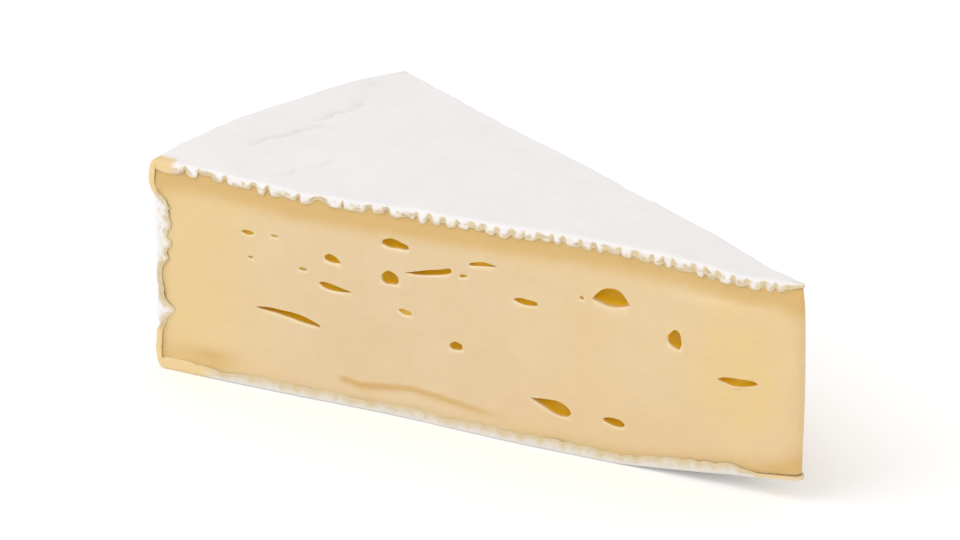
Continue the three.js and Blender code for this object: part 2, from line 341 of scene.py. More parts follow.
def rind_strip(side, rows, shoulder):
    """One side's cut edge of the rind on its grid of rows and profile steps. A point
    lies the step's share of the thickness under the outer surface, and as far out of
    the cut face as the step and the lump say, roughened by noise and pits. All of it
    narrows to nothing across the tip, and the last steps end at the paste."""
    _, sine, cosine, _ = rows
    distance, height = section_point(rows, shoulder, side * HEEL_EDGE)
    thick, proud, notched, smear = rind_edge(side, rows, distance, height)
    hidden = RIND_TOP * np.clip(cosine, 0, 1) ** 2 + RIND_WALL * sine**2
    hidden = hidden + RIND_BASE * np.clip(-cosine, 0, 1) ** 2
    thick = np.maximum(thick, hidden + 0.05 + 0.35 * sine**2)
    settle = ramp(np.arange(len(EDGE_OUT)), SETTLE_START, SETTLE_END)[None, :]
    down = EDGE_DOWN[None, :] * (thick * (1 - settle) + hidden * settle)
    roughened = 0.07 * waves(71 + side, 1.9, distance + height, 9 * EDGE_DOWN[None, :])
    tight = np.clip(outline(distance)[1] / 1.3, 0, 1)
    middle = np.clip(EDGE_PROUD, 0, 1)[None, :] * tight
    pits = ramp(waves(73 + side, 2.0, distance + height, 7 * EDGE_DOWN[None, :]), 0.3, 1.3)
    pits = pits * middle * (1 - 0.85 * np.clip(-cosine, 0, 1))
    roughened = (roughened - 0.2 * pits) * (1 - 0.7 * smear)
    out = (np.minimum(EDGE_OUT, 0)[None, :] + EDGE_PROUD[None, :] * (proud + roughened)) * tight
    u = distance - down * sine
    z = height - down * cosine
    x, y, z = on_cut(side, np.maximum(u, 0), z, out)
    # The cut rind goes tan towards the paste and where its notches show paste; its pits are tinted
    # tan as painted shade
    tan = EDGE_TAN[None, :] + 0.95 * notched * ramp(EDGE_DOWN, 0.1, 0.5)[None, :] + 0.45 * pits
    tan = np.clip(tan, 0, 1)
    return x, y, z, tan, np.broadcast_to(smear, x.shape)


def rind_across(start, end, count):
    """Rows of points from one side's edge to the other: straight across near the tip,
    and bowed like the wheel's rim near the heel, by the sagitta of the circle there."""
    share = np.linspace(0, 1, count + 2)[None, 1:-1]
    x = start[0] * (1 - share) + end[0] * share
    y = start[1] * (1 - share) + end[1] * share
    z = start[2] * (1 - share) + end[2] * share
    half = np.abs(start[1] - end[1]) / 2
    reach = np.hypot(TIP_X - start[0], half)
    circle = np.sqrt(np.maximum(reach**2 - y**2, 0)) - np.sqrt(np.maximum(reach**2 - half**2, 0))
    return x - circle * ramp(reach, BOW_START, BOW_END), y, z


def make_rind():
    """The whole rind as one closed sheet: each row is a closed loop that goes across
    the outside, down the far cut edge, back across the inside and up the near one. The
    outside is moved from the straight way across to where the section says it is, as
    the shoulder's radius changes from side to side and the wall's creases wander. The
    top's relief and the base's dish are added to the heights last."""
    rows = rind_rows()
    _, sine, cosine, _ = rows
    near = rind_strip(NEAR, rows, SHOULDER_NEAR)
    far = rind_strip(FAR, rows, SHOULDER_FAR)
    near_outside, far_outside = [c[:, :1] for c in near[:3]], [c[:, :1] for c in far[:3]]
    near_inside, far_inside = [c[:, -1:] for c in near[:3]], [c[:, -1:] for c in far[:3]]
    outer = rind_across(near_outside, far_outside, OUTSIDE_COLUMNS)
    inner = rind_across(far_inside, near_inside, INSIDE_COLUMNS)

    def loop(across, far_edge, back, near_edge):
        return np.concatenate([across, far_edge, back, near_edge[:, ::-1]], axis=1)

    x, y, z = (loop(outer[i], far[i], inner[i], near[i]) for i in range(3))

    mix = np.clip((outer[1] + HEEL_EDGE) / (2 * HEEL_EDGE), 0, 1)
    shoulder = SHOULDER_NEAR + (SHOULDER_FAR - SHOULDER_NEAR) * mix
    distance, height = section_point(rows, shoulder, outer[1])
    share = np.linspace(0, 1, OUTSIDE_COLUMNS + 2)[None, 1:-1]
    near_distance, near_height = section_point(rows, SHOULDER_NEAR, -HEEL_EDGE)
    far_distance, far_height = section_point(rows, SHOULDER_FAR, HEEL_EDGE)
    x[:, :OUTSIDE_COLUMNS] -= distance - (near_distance * (1 - share) + far_distance * share)
    z[:, :OUTSIDE_COLUMNS] += height - (near_height * (1 - share) + far_height * share)

    relief = top_relief(x, y)
    distance = np.hypot(TIP_X - x, y)
    z = z + np.clip(cosine, 0, 1) ** 2 * relief + np.clip(-cosine, 0, 1) ** 2 * dish(distance)

    inside = np.ones_like(inner[0])
    tan = loop(np.zeros_like(outer[0]), far[3], inside, near[3])
    over = near[4][:, :1] * hump(outer[1], near_outside[1], 1.3)
    over = np.clip(over + far[4][:, :1] * hump(outer[1], far_outside[1], 1.0), 0, 1)
    smear = loop(over, far[4], inside, near[4])
    # Painted shade where the wall sinks in, strongest in its creases
    wall_fold_shade = sine**2 * np.clip(wall_inset(z, y) - 0.5, 0, 1.4) / 1.4
    # Painted shade along the top's creases
    crease_shade = np.clip(cosine, 0, 1) ** 2 * top_creases(x, y)
    # Painted shade greying the base and its cut edge
    base_shade = np.clip(-cosine, 0, 1) ** 2 + 0 * x
    index = np.arange(x.size).reshape(x.shape)
    index = np.concatenate([index, index[:, :1]], axis=1)
    points = np.stack([x, y, z], axis=-1).reshape(-1, 3)
    attributes = {
        "tan": tan.ravel(),
        "smear": smear.ravel(),
        "fold_shade": (wall_fold_shade + 0 * x).ravel(),
        "crease_shade": crease_shade.ravel(),
        "base_shade": base_shade.ravel(),
    }
    return make_piece("rind_skin", points, grid_faces(index), attributes)


# ------------------------------------------------------------------------ paste

# Gas holes are measured towards the tip, from a line beside the heel this far from it
HOLE_LINE = 125.0

# Gas holes: along from that line, up from the base, length, height above and below the
# middle line, turn in degrees (the tip's end lower), depth, where along it the hole is
# tallest, how pointed its ends are, and how far it is bent upwards
NEAR_HOLES = [
    (18.9, 29.2, 2.6, 0.45, 0.4, 0, 1.1, 0.5, 1.3, 0),
    (24.3, 29.5, 1.5, 0.3, 0.25, 0, 0.5, 0.5, 1.3, 0),
    (19.5, 24.7, 1.0, 0.3, 0.25, 0, 0.6, 0.5, 1.0, 0),
    (30.0, 24.4, 1.7, 0.35, 0.3, 0, 0.7, 0.5, 1.2, 0),
    (35.8, 27.2, 3.3, 0.75, 0.65, 10, 2.0, 0.4, 1.2, 0.1),
    (36.4, 22.2, 6.4, 0.55, 0.55, 6, 2.0, 0.35, 1.3, -0.2),
    (27.0, 14.9, 12.8, 0.6, 0.55, 6, 2.6, 0.6, 1.0, 0.45),
    (48.1, 32.2, 5.4, 0.85, 0.75, 2, 2.8, 0.45, 0.9, 0.1),
    (47.2, 25.9, 3.4, 1.3, 1.15, 0, 3.2, 0.5, 0.8, 0),
    (54.7, 28.6, 9.2, 0.7, 0.45, -12, 2.2, 0.78, 1.2, -0.3),
    (61.5, 29.1, 1.6, 0.35, 0.3, -10, 0.8, 0.5, 1.2, 0),
    (65.2, 31.7, 5.4, 0.45, 0.35, -6, 1.3, 0.35, 1.4, 0.2),
    (50.2, 20.2, 2.7, 0.55, 0.45, 10, 0.9, 0.5, 1.2, 0),
    (60.0, 15.7, 2.6, 0.85, 0.75, -4, 2.2, 0.55, 0.9, 0),
    (73.4, 26.6, 4.6, 0.65, 0.55, 2, 1.8, 0.6, 1.1, -0.1),
    (89.4, 29.5, 7.0, 2.6, 0.85, 0, 3.8, 0.5, 1.9, 0),
    (83.9, 29.2, 0.9, 0.35, 0.35, 0, 0.7, 0.5, 1.0, 0),
    (101.5, 25.0, 2.6, 1.8, 1.6, -8, 3.2, 0.62, 0.9, 0),
    (113.4, 19.8, 7.4, 0.75, 0.7, -3, 2.0, 0.5, 1.3, -0.15),
    (78.3, 8.3, 8.0, 1.3, 1.2, 11, 3.4, 0.7, 1.7, 0),
    (90.3, 7.6, 4.2, 0.8, 0.7, 6, 2.4, 0.55, 1.1, 0),
]
FAR_HOLES = [
    (14.5, 21.0, 4.2, 0.8, 0.7, -8, 2.2, 0.6, 1.2, 0.1),
    (24.0, 29.5, 3.0, 0.7, 0.6, 4, 1.8, 0.5, 1.1, 0),
    (31.0, 12.5, 9.0, 0.8, 0.7, -5, 2.8, 0.35, 1.3, -0.3),
    (38.5, 24.0, 5.4, 1.8, 1.0, 8, 3.4, 0.6, 1.5, 0),
    (47.0, 17.0, 2.4, 0.8, 0.7, 0, 1.8, 0.5, 0.9, 0),
    (54.5, 28.0, 10.4, 0.7, 0.7, 6, 2.6, 0.6, 1.3, 0.3),
    (61.0, 9.0, 4.6, 1.1, 0.9, -10, 2.8, 0.35, 1.2, 0),
    (69.0, 22.5, 3.2, 1.3, 1.2, 12, 2.8, 0.5, 0.9, 0),
    (77.5, 30.0, 4.8, 0.7, 0.6, -4, 2.0, 0.4, 1.2, 0),
    (83.0, 14.0, 7.6, 0.8, 0.7, 7, 2.4, 0.65, 1.3, 0.2),
    (95.0, 25.5, 5.6, 1.5, 1.2, -6, 3.0, 0.4, 1.4, 0),
    (103.5, 10.5, 3.0, 0.7, 0.7, 0, 1.8, 0.5, 1.0, 0),
    (110.0, 20.0, 5.2, 0.6, 0.6, -5, 1.8, 0.6, 1.3, 0),
]

# A cut face's grid has cells of FACE_STEP, and is FACE_LENGTH long before its heel end
# is moved to the paste's own end. A column past LAST_SHARE of the length is left out.
FACE_STEP = 0.5
FACE_LEVELS = 76
FACE_LENGTH = RADIUS - 2
LAST_SHARE = 0.9965
CAP_COLUMNS = 15

# Radii of the paste's corners behind the heel's rind, at the top of each side and at
# the foot, and how much further in the paste lies between its two faces
PASTE_CORNER_NEAR, PASTE_CORNER_FAR, PASTE_FOOT = 0.8, 3.4, 0.8
CAP_INSET = 0.3


def paste_limits(side, u):
    """The heights between which a cut face shows paste, at distance u from the tip."""
    x, y, _, _ = outline(u)
    top = HEIGHT - RIND_TOP - BOND_GAP + top_relief(x, side * y)
    base = RIND_BASE + BOND_GAP + dish(u)
    return base, top


def paste_end(side, z):
    """How far from the tip the paste reaches, behind the rind of the heel's wall: the
    wall's hollow and its lower crease, with quarter arcs at the top and the foot."""
    arc = PASTE_CORNER_NEAR if side == NEAR else PASTE_CORNER_FAR
    into_top = np.clip(z - (HEIGHT - RIND_TOP - arc), 0, arc)
    into_foot = np.clip(PASTE_FOOT + RIND_BASE - z, 0, PASTE_FOOT)
    rounding = arc - np.sqrt(arc**2 - into_top**2)
    rounding = rounding + PASTE_FOOT - np.sqrt(PASTE_FOOT**2 - into_foot**2)
    sunk = wall_hollow(z) + 0.3 * hump(z, 8.2, 0.9) + 0.2
    return RADIUS - RIND_WALL - BOND_GAP - sunk - rounding


def lower_fold(along, z, lift, reach):
    """A fold low on the near face: a bump across a wandering line, faded at both ends."""
    line = np.interp(along, (36, 41, 51, 57, 63, 72), (4.8, 4.0, 5.2, 4.8, 4.2, 3.6))
    return hump(z, line + lift, reach) * ramp(along, 35.5, 38) * (1 - ramp(along, 58, 74))


def paste_relief(side, u, z, base, top):
    """How far the paste stands out of its face. It sinks in beside the rind at the top,
    the heel and the base, as a bump of the distance from each, and less where paste is
    smeared over the rind. Noise is added and, on the near face, a fold and a hollow
    with a bank above it near the foot, and a raised smear under the top by the tip."""
    fade = ramp(u, 0, 4)
    under_top = 0.24 * np.exp(-((np.maximum(top - z, 0) / 2.2) ** 2))
    under_heel = 0.26 * np.exp(-((np.maximum(paste_end(side, z) - u, 0) / 2.2) ** 2))
    over_base = 0.15 * np.exp(-((np.maximum(z - base, 0) / 1.5) ** 2)) * ramp(u, 6, 16)
    noise = 0.05 * waves(81 + side, 9, u, 1.5 * z) + 0.022 * waves(83 + side, 3.1, u, 1.8 * z)
    smeared = ramp(z, 32, 34.5) * ramp(u, 119, 121.5) + ramp(u, 110, 118) * (1 - ramp(z, 7, 8.4))
    recess = np.maximum(under_top, under_heel) * (1 - 0.5 * np.clip(smeared, 0, 1))
    out = fade * noise - recess - over_base
    if side == NEAR:
        along = HOLE_LINE - u
        out = out - 0.42 * lower_fold(along, z, 0, 0.62) + 0.18 * lower_fold(along, z, -1.4, 1)
        hollow = hump(along, 11.5, 6.5) * hump(z, 4.0, 1.6)
        out = out - 0.5 * hollow + 0.25 * hump(along, 12, 7) * hump(z, 7.2, 1.8)
        out = out + 0.12 * hump(along, 110.5, 7.5) * hump(z, 33.6, 0.9)
    return out


def hole_rim(hole, angle, inset):
    """Rings inside or round a hole's rim, at distances in from it. The rim is a lens:
    its ends lie on the middle line, and above and below it bulges by the product of
    two powers of the distances from its ends, with its highest point where the hole
    says. It is then bent by a parabola and turned. Gives the distance along from
    HOLE_LINE and the height."""
    along, up, length, above, below, turn, _, peak, point, bend = hole
    half = length / 2
    share = (1 - np.cos(angle)) / 2
    power = point * 0.5
    rise = (np.maximum(share, 1e-9) / peak) ** (2 * power * peak)
    fall = (np.maximum(1 - share, 1e-9) / (1 - peak)) ** (2 * power * (1 - peak))
    bulge = rise * fall
    height = np.where(np.sin(angle) >= 0, above, -below)
    uneven = 1 + 0.09 * np.sin(3 * angle + along) + 0.05 * np.sin(5 * angle + 2 * up)
    a = -np.cos(angle) * half * np.maximum(1 - inset / half, 0.05)
    b = height * bulge * uneven * (1 - inset / (0.5 * (above + below)))
    b = b + bend * (1 - (a / half) ** 2)
    slope = math.radians(turn)
    return (
        along + a * math.cos(slope) + b * math.sin(slope),
        up - a * math.sin(slope) + b * math.cos(slope),
    )


# A hole's rings from the face to its bottom: the distance in from the rim, where below
# 0 is outside it or undercut, the share of the raised lip, and the share of the depth.
# Above WIDE_INSET the distance is a share of the hole's half height instead.
WIDE_INSET = 0.1
HOLE_RINGS = [
    (-0.27, 0.6, 0.0),
    (-0.17, 0.9, 0.0),
    (-0.08, 1.0, 0.0),
    (0.0, 0.8, 0.02),
    (0.05, 0.2, 0.08),
    (0.04, 0.0, 0.2),
    (-0.04, 0.0, 0.36),
    (-0.08, 0.0, 0.54),
    (-0.02, 0.0, 0.72),
    (0.18, 0.0, 0.88),
    (0.45, 0.0, 0.97),
    (0.8, 0.0, 1.0),
    (1.0, 0.0, 1.01),
]


def face_grid(side, holes):
    """The grid of a cut face: levels spread evenly from the base to the top, and columns
    from the heel to the tip, finer round the tip's arc. Towards the heel the columns go
    over to the paste's end. Round a turned hole the levels tilt with it, by the tangent
    of its turn times the distance aside, faded by steep bumps. Gives the grid's u and z,
    and the columns' distances from the tip before they were moved."""
    levels = np.linspace(0, 1, FACE_LEVELS)[:, None]
    round_tip = np.array([0, 0.14, 0.3, 0.5, 0.75, TIP_ARC]) / FACE_LENGTH
    straight = np.arange(TIP_ARC + FACE_STEP, RADIUS, FACE_STEP) / FACE_LENGTH
    share = np.concatenate([round_tip, straight[straight < LAST_SHARE], [1.0]])[None, ::-1]
    columns = share * FACE_LENGTH
    base, top = paste_limits(side, columns)
    z = base + levels * (top - base)
    u = columns + (paste_end(side, z) - FACE_LENGTH) * ramp(share, 0.8, 1.0)
    base, top = paste_limits(side, u)
    level_z = base + levels * (top - base)
    z = level_z
    for along, up, length, above, below, turn, *_ in holes:
        aside = HOLE_LINE - u - along
        here = np.exp(-((aside / (length / 2 + 2.5)) ** 4))
        here = here * np.exp(-(((level_z - up) / (max(above, below) + 2.2)) ** 4))
        z = z - math.tan(math.radians(turn)) * aside * here
    return u, z, columns[0]


def hole_block(hole, u, z, columns):
    """The block of cells that a hole takes up: the level and column of its middle, and
    how many columns it spreads to each side and levels up and down."""
    along, up, length, above, below, _, _, _, _, bend = hole
    level = np.abs(z[:, np.abs(columns - (HOLE_LINE - along)).argmin()] - up).argmin()
    column = np.abs(u[level] - (HOLE_LINE - along)).argmin()
    wide = math.ceil((length / 2 + 0.4) / FACE_STEP)
    tall = math.ceil((max(above, below) * 1.08 + abs(bend) * 0.4 + 0.45) / FACE_STEP)
    return level, column, wide, tall


def block_border(index, level, column, wide, tall):
    """The grid points round a block, from the middle of its heel side up and over."""
    left, right = column - wide, column + wide
    low, high = level - tall, level + tall
    sides = [
        index[level:high, left],
        index[high, left:right],
        index[high:low:-1, right],
        index[low, right:left:-1],
        index[low:level, left],
    ]
    return np.concatenate(sides)


def hole_rings(hole, border_u, border_z):
    """The rings that fill a hole's block, with as many points each as its border. Two
    lead from the border to the first of HOLE_RINGS, at shares of the way. The lip and
    a painted highlight on the edge are strongest below the hole, and its roof gets
    painted shade. Gives u, z, the distance out of the face, the painted shade and the
    painted highlight, each by ring and point."""
    _, _, length, above, below, _, depth, *_ = hole
    angle = 2 * math.pi * np.arange(len(border_u)) / len(border_u)
    lip = (0.03 + 0.02 * min(length, 4)) * (0.3 + 0.7 * ramp(-np.sin(angle), -0.2, 0.9))
    # Painted highlight along the hole's lower edge, painted shade over its roof
    lower_highlight = ramp(-np.sin(angle), 0.1, 0.8)
    roof_shade = 0.4 * ramp(np.sin(angle), 0, 1)
    inset, raised, deep = (column[:, None] for column in np.array(HOLE_RINGS).T)
    half_height = 0.5 * (above + below)
    inset = inset * np.where(inset > WIDE_INSET, half_height, 1)
    along, z = hole_rim(hole, angle, inset)
    u, z = HOLE_LINE - along, z + 0.3 * above * deep**2
    out = lip * raised - 0.62 * depth * deep
    # Painted shade in the hole, more with its depth and over its roof, and the painted highlight on
    # its lower edge at the face
    hole_shade = deep * min(1, depth / 2) + (deep > 0.01) * roof_shade
    pale = lower_highlight * (deep < 0.05)
    share = np.array([[0.35], [0.7]])
    lead_u = border_u * (1 - share) + u[0] * share
    lead_z = border_z * (1 - share) + z[0] * share
    # The lead rings get a fading painted highlight and no painted shade
    lead_out, lead_highlight = out[0] * share * 0.5, lower_highlight * 0.8 * share**2
    lead = np.stack([lead_u, lead_z, lead_out, 0 * lead_u, lead_highlight])
    return np.concatenate([lead, np.stack([u, z, out, hole_shade, pale])], axis=1)


def paste_tints(side, u, z, base, top, pale):
    """How tan, how pale and how yellow the paste is: bumps of the distance from the
    rind, the tip, the fold and hollow of the near face, and the holes' lower edges.
    The tan is the creamline beside the rind with painted shade under its edge, and
    painted shade along the tip and in the fold and hollow; the pale is a real smear by
    the tip and a painted highlight on the holes' lower edges."""
    along = HOLE_LINE - u
    # Tan beside the rind at the top, the heel and the base: the creamline, and painted shade under
    # the rind's edge
    creamline_and_shade = (0.95 + 0.3 * hump(u, 75, 32)) * hump(z, top - 1, 3.7)
    creamline_and_shade = creamline_and_shade + 0.8 * np.exp(-np.maximum(paste_end(side, z) - u, 0) / 1.6)
    creamline_and_shade = creamline_and_shade + (0.4 + 0.3 * ramp(u, 70, 25)) * hump(z, base, 3.2)
    # Painted shade along the tip's rounded edge and at its foot
    creamline_and_shade = creamline_and_shade + 0.3 * (1 - ramp(u, 0, 4.5)) + 0.35 * (1 - ramp(u, 0, 9)) * (1 - ramp(z, 4, 11))
    # The holes' painted highlight goes into the pale smear
    smear = pale
    if side == NEAR:
        # Painted shade in the near face's low hollow and in its fold
        creamline_and_shade = creamline_and_shade + 0.5 * hump(along, 10.5, 6.5) * hump(z, 4.0, 2.0)
        creamline_and_shade = creamline_and_shade + 0.75 * lower_fold(along, z, 0.4, 0.8)
        # A real smear of paste under the top by the tip
        smear = smear + hump(along, 110.5, 8) * hump(z, 33.4, 1.1)
    yellow = hump(along, 6, 15) + hump(along, 114, 8) * hump(z, 21, 12)
    yellow = yellow + 0.8 * hump(z, top, 4.5) + 0.3 * ramp(along, 55, 85)
    tints = {"creamline_and_shade": creamline_and_shade, "smear": smear, "yellow": yellow}
    return {name: np.clip(values, 0, 1) for name, values in tints.items()}


def make_face(side):
    """One cut face of the paste: its grid, in which the block of cells round each gas
    hole is left out and filled with the hole's rings. Every point is then moved out of
    the face by its ring and the paste's relief. Gives the grid's own indices, all
    points and faces, and the attributes that the material reads."""
    holes = NEAR_HOLES if side == NEAR else FAR_HOLES
    u, z, columns = face_grid(side, holes)
    index = np.arange(z.size).reshape(z.shape)
    cells = np.ones((z.shape[0] - 1, z.shape[1] - 1), bool)
    blank = np.zeros(z.size)
    values, faces = [np.stack([u.ravel(), z.ravel(), blank, blank, blank])], []
    count = z.size
    for hole in holes:
        level, column, wide, tall = hole_block(hole, u, z, columns)
        block = np.s_[level - tall : level + tall, column - wide : column + wide]
        if not cells[block].all():
            raise ValueError(f"the gas hole at {hole[0]}, {hole[1]} meets another")
        cells[block] = False
        border = block_border(index, level, column, wide, tall)
        rings = hole_rings(hole, u.ravel()[border], z.ravel()[border])
        ring_index = np.arange(count, count + rings[0].size).reshape(rings[0].shape)
        ring_index = np.concatenate([border[None], ring_index])
        faces.append(grid_faces(np.concatenate([ring_index, ring_index[:, :1]], axis=1)))
        values.append(rings.reshape(5, -1))
        count += rings[0].size
    # Of these, deep is the holes' painted shade and pale their painted highlight
    u, z, out, deep, pale = np.concatenate(values, axis=1)
    base, top = paste_limits(side, u)
    points = np.stack(on_cut(side, u, z, out + paste_relief(side, u, z, base, top)), axis=-1)
    attributes = {"deep": deep, **paste_tints(side, u, z, base, top, pale)}
    faces = np.concatenate([grid_faces(index)[cells.ravel()], *faces])
    return index, points, faces, attributes


def make_paste():
    """The paste: two cut faces that meet at the tip, closed behind the heel's rind, and
    under the rind of the top and the base, by rows that run straight across and are
    bowed by the sagitta of the wheel's circle. The rows under the top follow its relief,
    and those over the base its dish, each CAP_INSET further in."""
    near_index, near_points, near_faces, near_values = make_face(NEAR)
    far_index, far_points, far_faces, far_values = make_face(FAR)
    points, faces = [near_points, far_points], [near_faces, far_faces + len(near_points)]
    count = len(near_points) + len(far_points)
    share = np.linspace(0, 1, CAP_COLUMNS)[None, :, None]
    strips = {
        "heel": (near_index[:, 0], far_index[:, 0]),
        "top": (near_index[-1], far_index[-1]),
        "base": (near_index[0], far_index[0]),
    }
    for place, (near_row, far_row) in strips.items():
        start, end = near_points[near_row], far_points[far_row]
        grid = start[:, None] * (1 - share) + end[:, None] * share
        half = np.abs(start[:, 1] - end[:, 1])[:, None] / 2
        reach = np.hypot(TIP_X - start[:, 0], start[:, 1])[:, None]
        bow = np.sqrt(np.maximum(reach**2 - grid[:, :, 1] ** 2, 0))
        bow = bow - np.sqrt(np.maximum(reach**2 - half**2, 0))
        bow[:, [0, -1]] = 0
        grid[:, :, 0] -= bow * ramp(reach, BOW_START, BOW_END)
        x, y = grid[:, 1:-1, 0], grid[:, 1:-1, 1]
        if place == "top":
            grid[:, 1:-1, 2] = HEIGHT - RIND_TOP - BOND_GAP + top_relief(x, y) - CAP_INSET
        if place == "base":
            grid[:, 1:-1, 2] = RIND_BASE + CAP_INSET + dish(np.hypot(x - TIP_X, y))
        index = np.arange(count, count + x.shape[0] * CAP_COLUMNS).reshape(-1, CAP_COLUMNS)
        points.append(grid.reshape(-1, 3))
        faces.append(grid_faces(index))
        count += index.size
    hidden = np.zeros(count - len(near_points) - len(far_points))
    attributes = {
        name: np.concatenate([near_values[name], far_values[name], hidden]) for name in near_values
    }
    return make_piece("paste_body", np.concatenate(points), np.concatenate(faces), attributes)


# -------------------------------------------------------------------- materials


class Term:
    """One value in a shader's maths. Python's operators on it add Math nodes."""

    def __init__(self, shader, socket):
        self.shader, self.socket = shader, socket

    def math(self, operation, first, second):
        return self.shader.node("ShaderNodeMath", {"operation": operation}, {0: first, 1: second})

    def __add__(self, other):
        return self.math("ADD", self, other)

    def __sub__(self, other):
        return self.math("SUBTRACT", self, other)

    def __mul__(self, other):
        return self.math("MULTIPLY", self, other)

    def __rsub__(self, other):
        return self.math("SUBTRACT", other, self)

    __radd__, __rmul__ = __add__, __mul__

    def between(self, low, high):
        """0 at low and below, 1 at high and above, and smooth between them."""
        settings = {"interpolation_type": "SMOOTHSTEP"}
        inputs = {"Value": self, "From Min": low, "From Max": high}
        return self.shader.node("ShaderNodeMapRange", settings, inputs)


class Shader:
    """A material whose nodes are added by calls. The Principled shader's sockets that
    are the same all over are set as plain values."""

    def __init__(self, name, **constants):
        self.material = bpy.data.materials.new(name)
        self.material.use_nodes = True
        self.tree = self.material.node_tree
        self.principled = self.tree.nodes["Principled BSDF"]
        for socket, value in constants.items():
            self.principled.inputs[socket.replace("_", " ")].default_value = value
        self.place = self.node("ShaderNodeTexCoord", {}, {}, "Object")

    def set(self, node, key, value):
        """Links a socket to a term, or gives it a plain value."""
        if isinstance(value, Term):
            self.tree.links.new(value.socket, node.inputs[key])
        else:
            node.inputs[key].default_value = value

    def node(self, kind, settings, inputs, output=0):
        """A new node of any type, its settings made before its sockets are filled."""
        node = self.tree.nodes.new(kind)
        for key, value in settings.items():
            setattr(node, key, value)
        for key, value in inputs.items():
            self.set(node, key, value)
        return Term(self, node.outputs[output])

    def attribute(self, name):
        return self.node("ShaderNodeAttribute", {"attribute_name": name}, {}, "Fac")

    def noise(self, size, detail=2.0, roughness=0.5, stretch=(1, 1, 1)):
        """Noise between 0 and 1 whose spots are about the size given, in millimetres."""
        place = self.place
        if stretch != (1, 1, 1):
            place = self.node("ShaderNodeMapping", {}, {"Vector": place, "Scale": stretch})
        inputs = {"Vector": place, "Scale": 1 / (size * MM), "Detail": detail, "Roughness": roughness}
        return self.node("ShaderNodeTexNoise", {}, inputs)

    def mix(self, share, first, second):
        """A colour between two, by a share from 0 to 1."""
        inputs = {0: share, 6: first, 7: second}
        return self.node("ShaderNodeMix", {"data_type": "RGBA"}, inputs, 2)

    def bump(self, height, distance, strength, normal=None):
        """A normal raised by a height between 0 and 1, over a distance in millimetres."""
        inputs = {"Height": height, "Distance": distance * MM, "Strength": strength}
        if normal is not None:
            inputs["Normal"] = normal
        return self.node("ShaderNodeBump", {}, inputs)

    def finish(self, **sockets):
        """Fills the Principled shader's sockets that vary over the surface."""
        for key, value in sockets.items():
            self.set(self.principled, key.replace("_", " "), value)
        return self.material


def paste_material():
    """Pale straw-yellow paste: slow and quick patches, paler smears and a painted
    highlight on the holes' lower edges, yellower zones beside the rind, a tan
    creamline there with painted shade under the rind's edge, along the tip and in the
    near face's fold and hollow, painted shade in the gas holes that goes from ochre to
    brown with their depth, and a finely grained, slightly moist surface."""
    shader = Shader(
        "paste",
        IOR=1.45,
        Subsurface_Weight=0.22,
        Subsurface_Radius=(1.0, 0.6, 0.25),
        Subsurface_Scale=0.0025,
        Specular_IOR_Level=0.35,
    )
    straw, pale = (0.71, 0.55, 0.34, 1), (0.765, 0.605, 0.39, 1)
    warm, tan, ochre = (0.69, 0.505, 0.29, 1), (0.64, 0.42, 0.16, 1), (0.84, 0.54, 0.015, 1)
    patches = shader.noise(14, 3).between(0.35, 0.65)
    blotches = shader.noise(4, 3, 0.6).between(0.4, 0.75)
    colour = shader.mix(patches * 0.5, straw, warm)
    colour = shader.mix(blotches * 0.25, colour, pale)
    # The smear is real paste smeared by the tip and a painted highlight on the holes' lower edges
    colour = shader.mix(shader.attribute("smear") * 0.7, colour, (0.88, 0.72, 0.48, 1))
    yellow = shader.attribute("yellow") * (0.7 + blotches * 0.3)
    colour = shader.mix(yellow, colour, (0.745, 0.55, 0.255, 1))
    uneven = shader.noise(3.2, 3, 0.6) - 0.5
    # The tan band is the creamline by the rind and painted shade under its edge, along the tip and in
    # the near face's fold and hollow
    creamline_and_shade = (shader.attribute("creamline_and_shade") + uneven * 0.3).between(0.05, 0.9)
    colour = shader.mix(creamline_and_shade * 0.95, colour, tan)
    # Painted shade in the gas holes: ochre, then brown, with their depth and over their roofs
    deep = shader.attribute("deep")
    colour = shader.mix(deep.between(0.0, 0.55), colour, ochre)
    colour = shader.mix(deep.between(0.4, 1.2), colour, (0.70, 0.40, 0.01, 1))
    roughness = 0.4 + shader.noise(2.2, 3) * 0.2
    grain = shader.noise(0.5, 3, 0.6)
    swirls = shader.noise(2.4, 3, 0.5, (1, 1, 2))
    normal = shader.bump(grain, 0.05, 0.5, shader.bump(swirls, 0.18, 0.5))
    return shader.finish(Base_Color=colour, Roughness=roughness, Normal=normal)


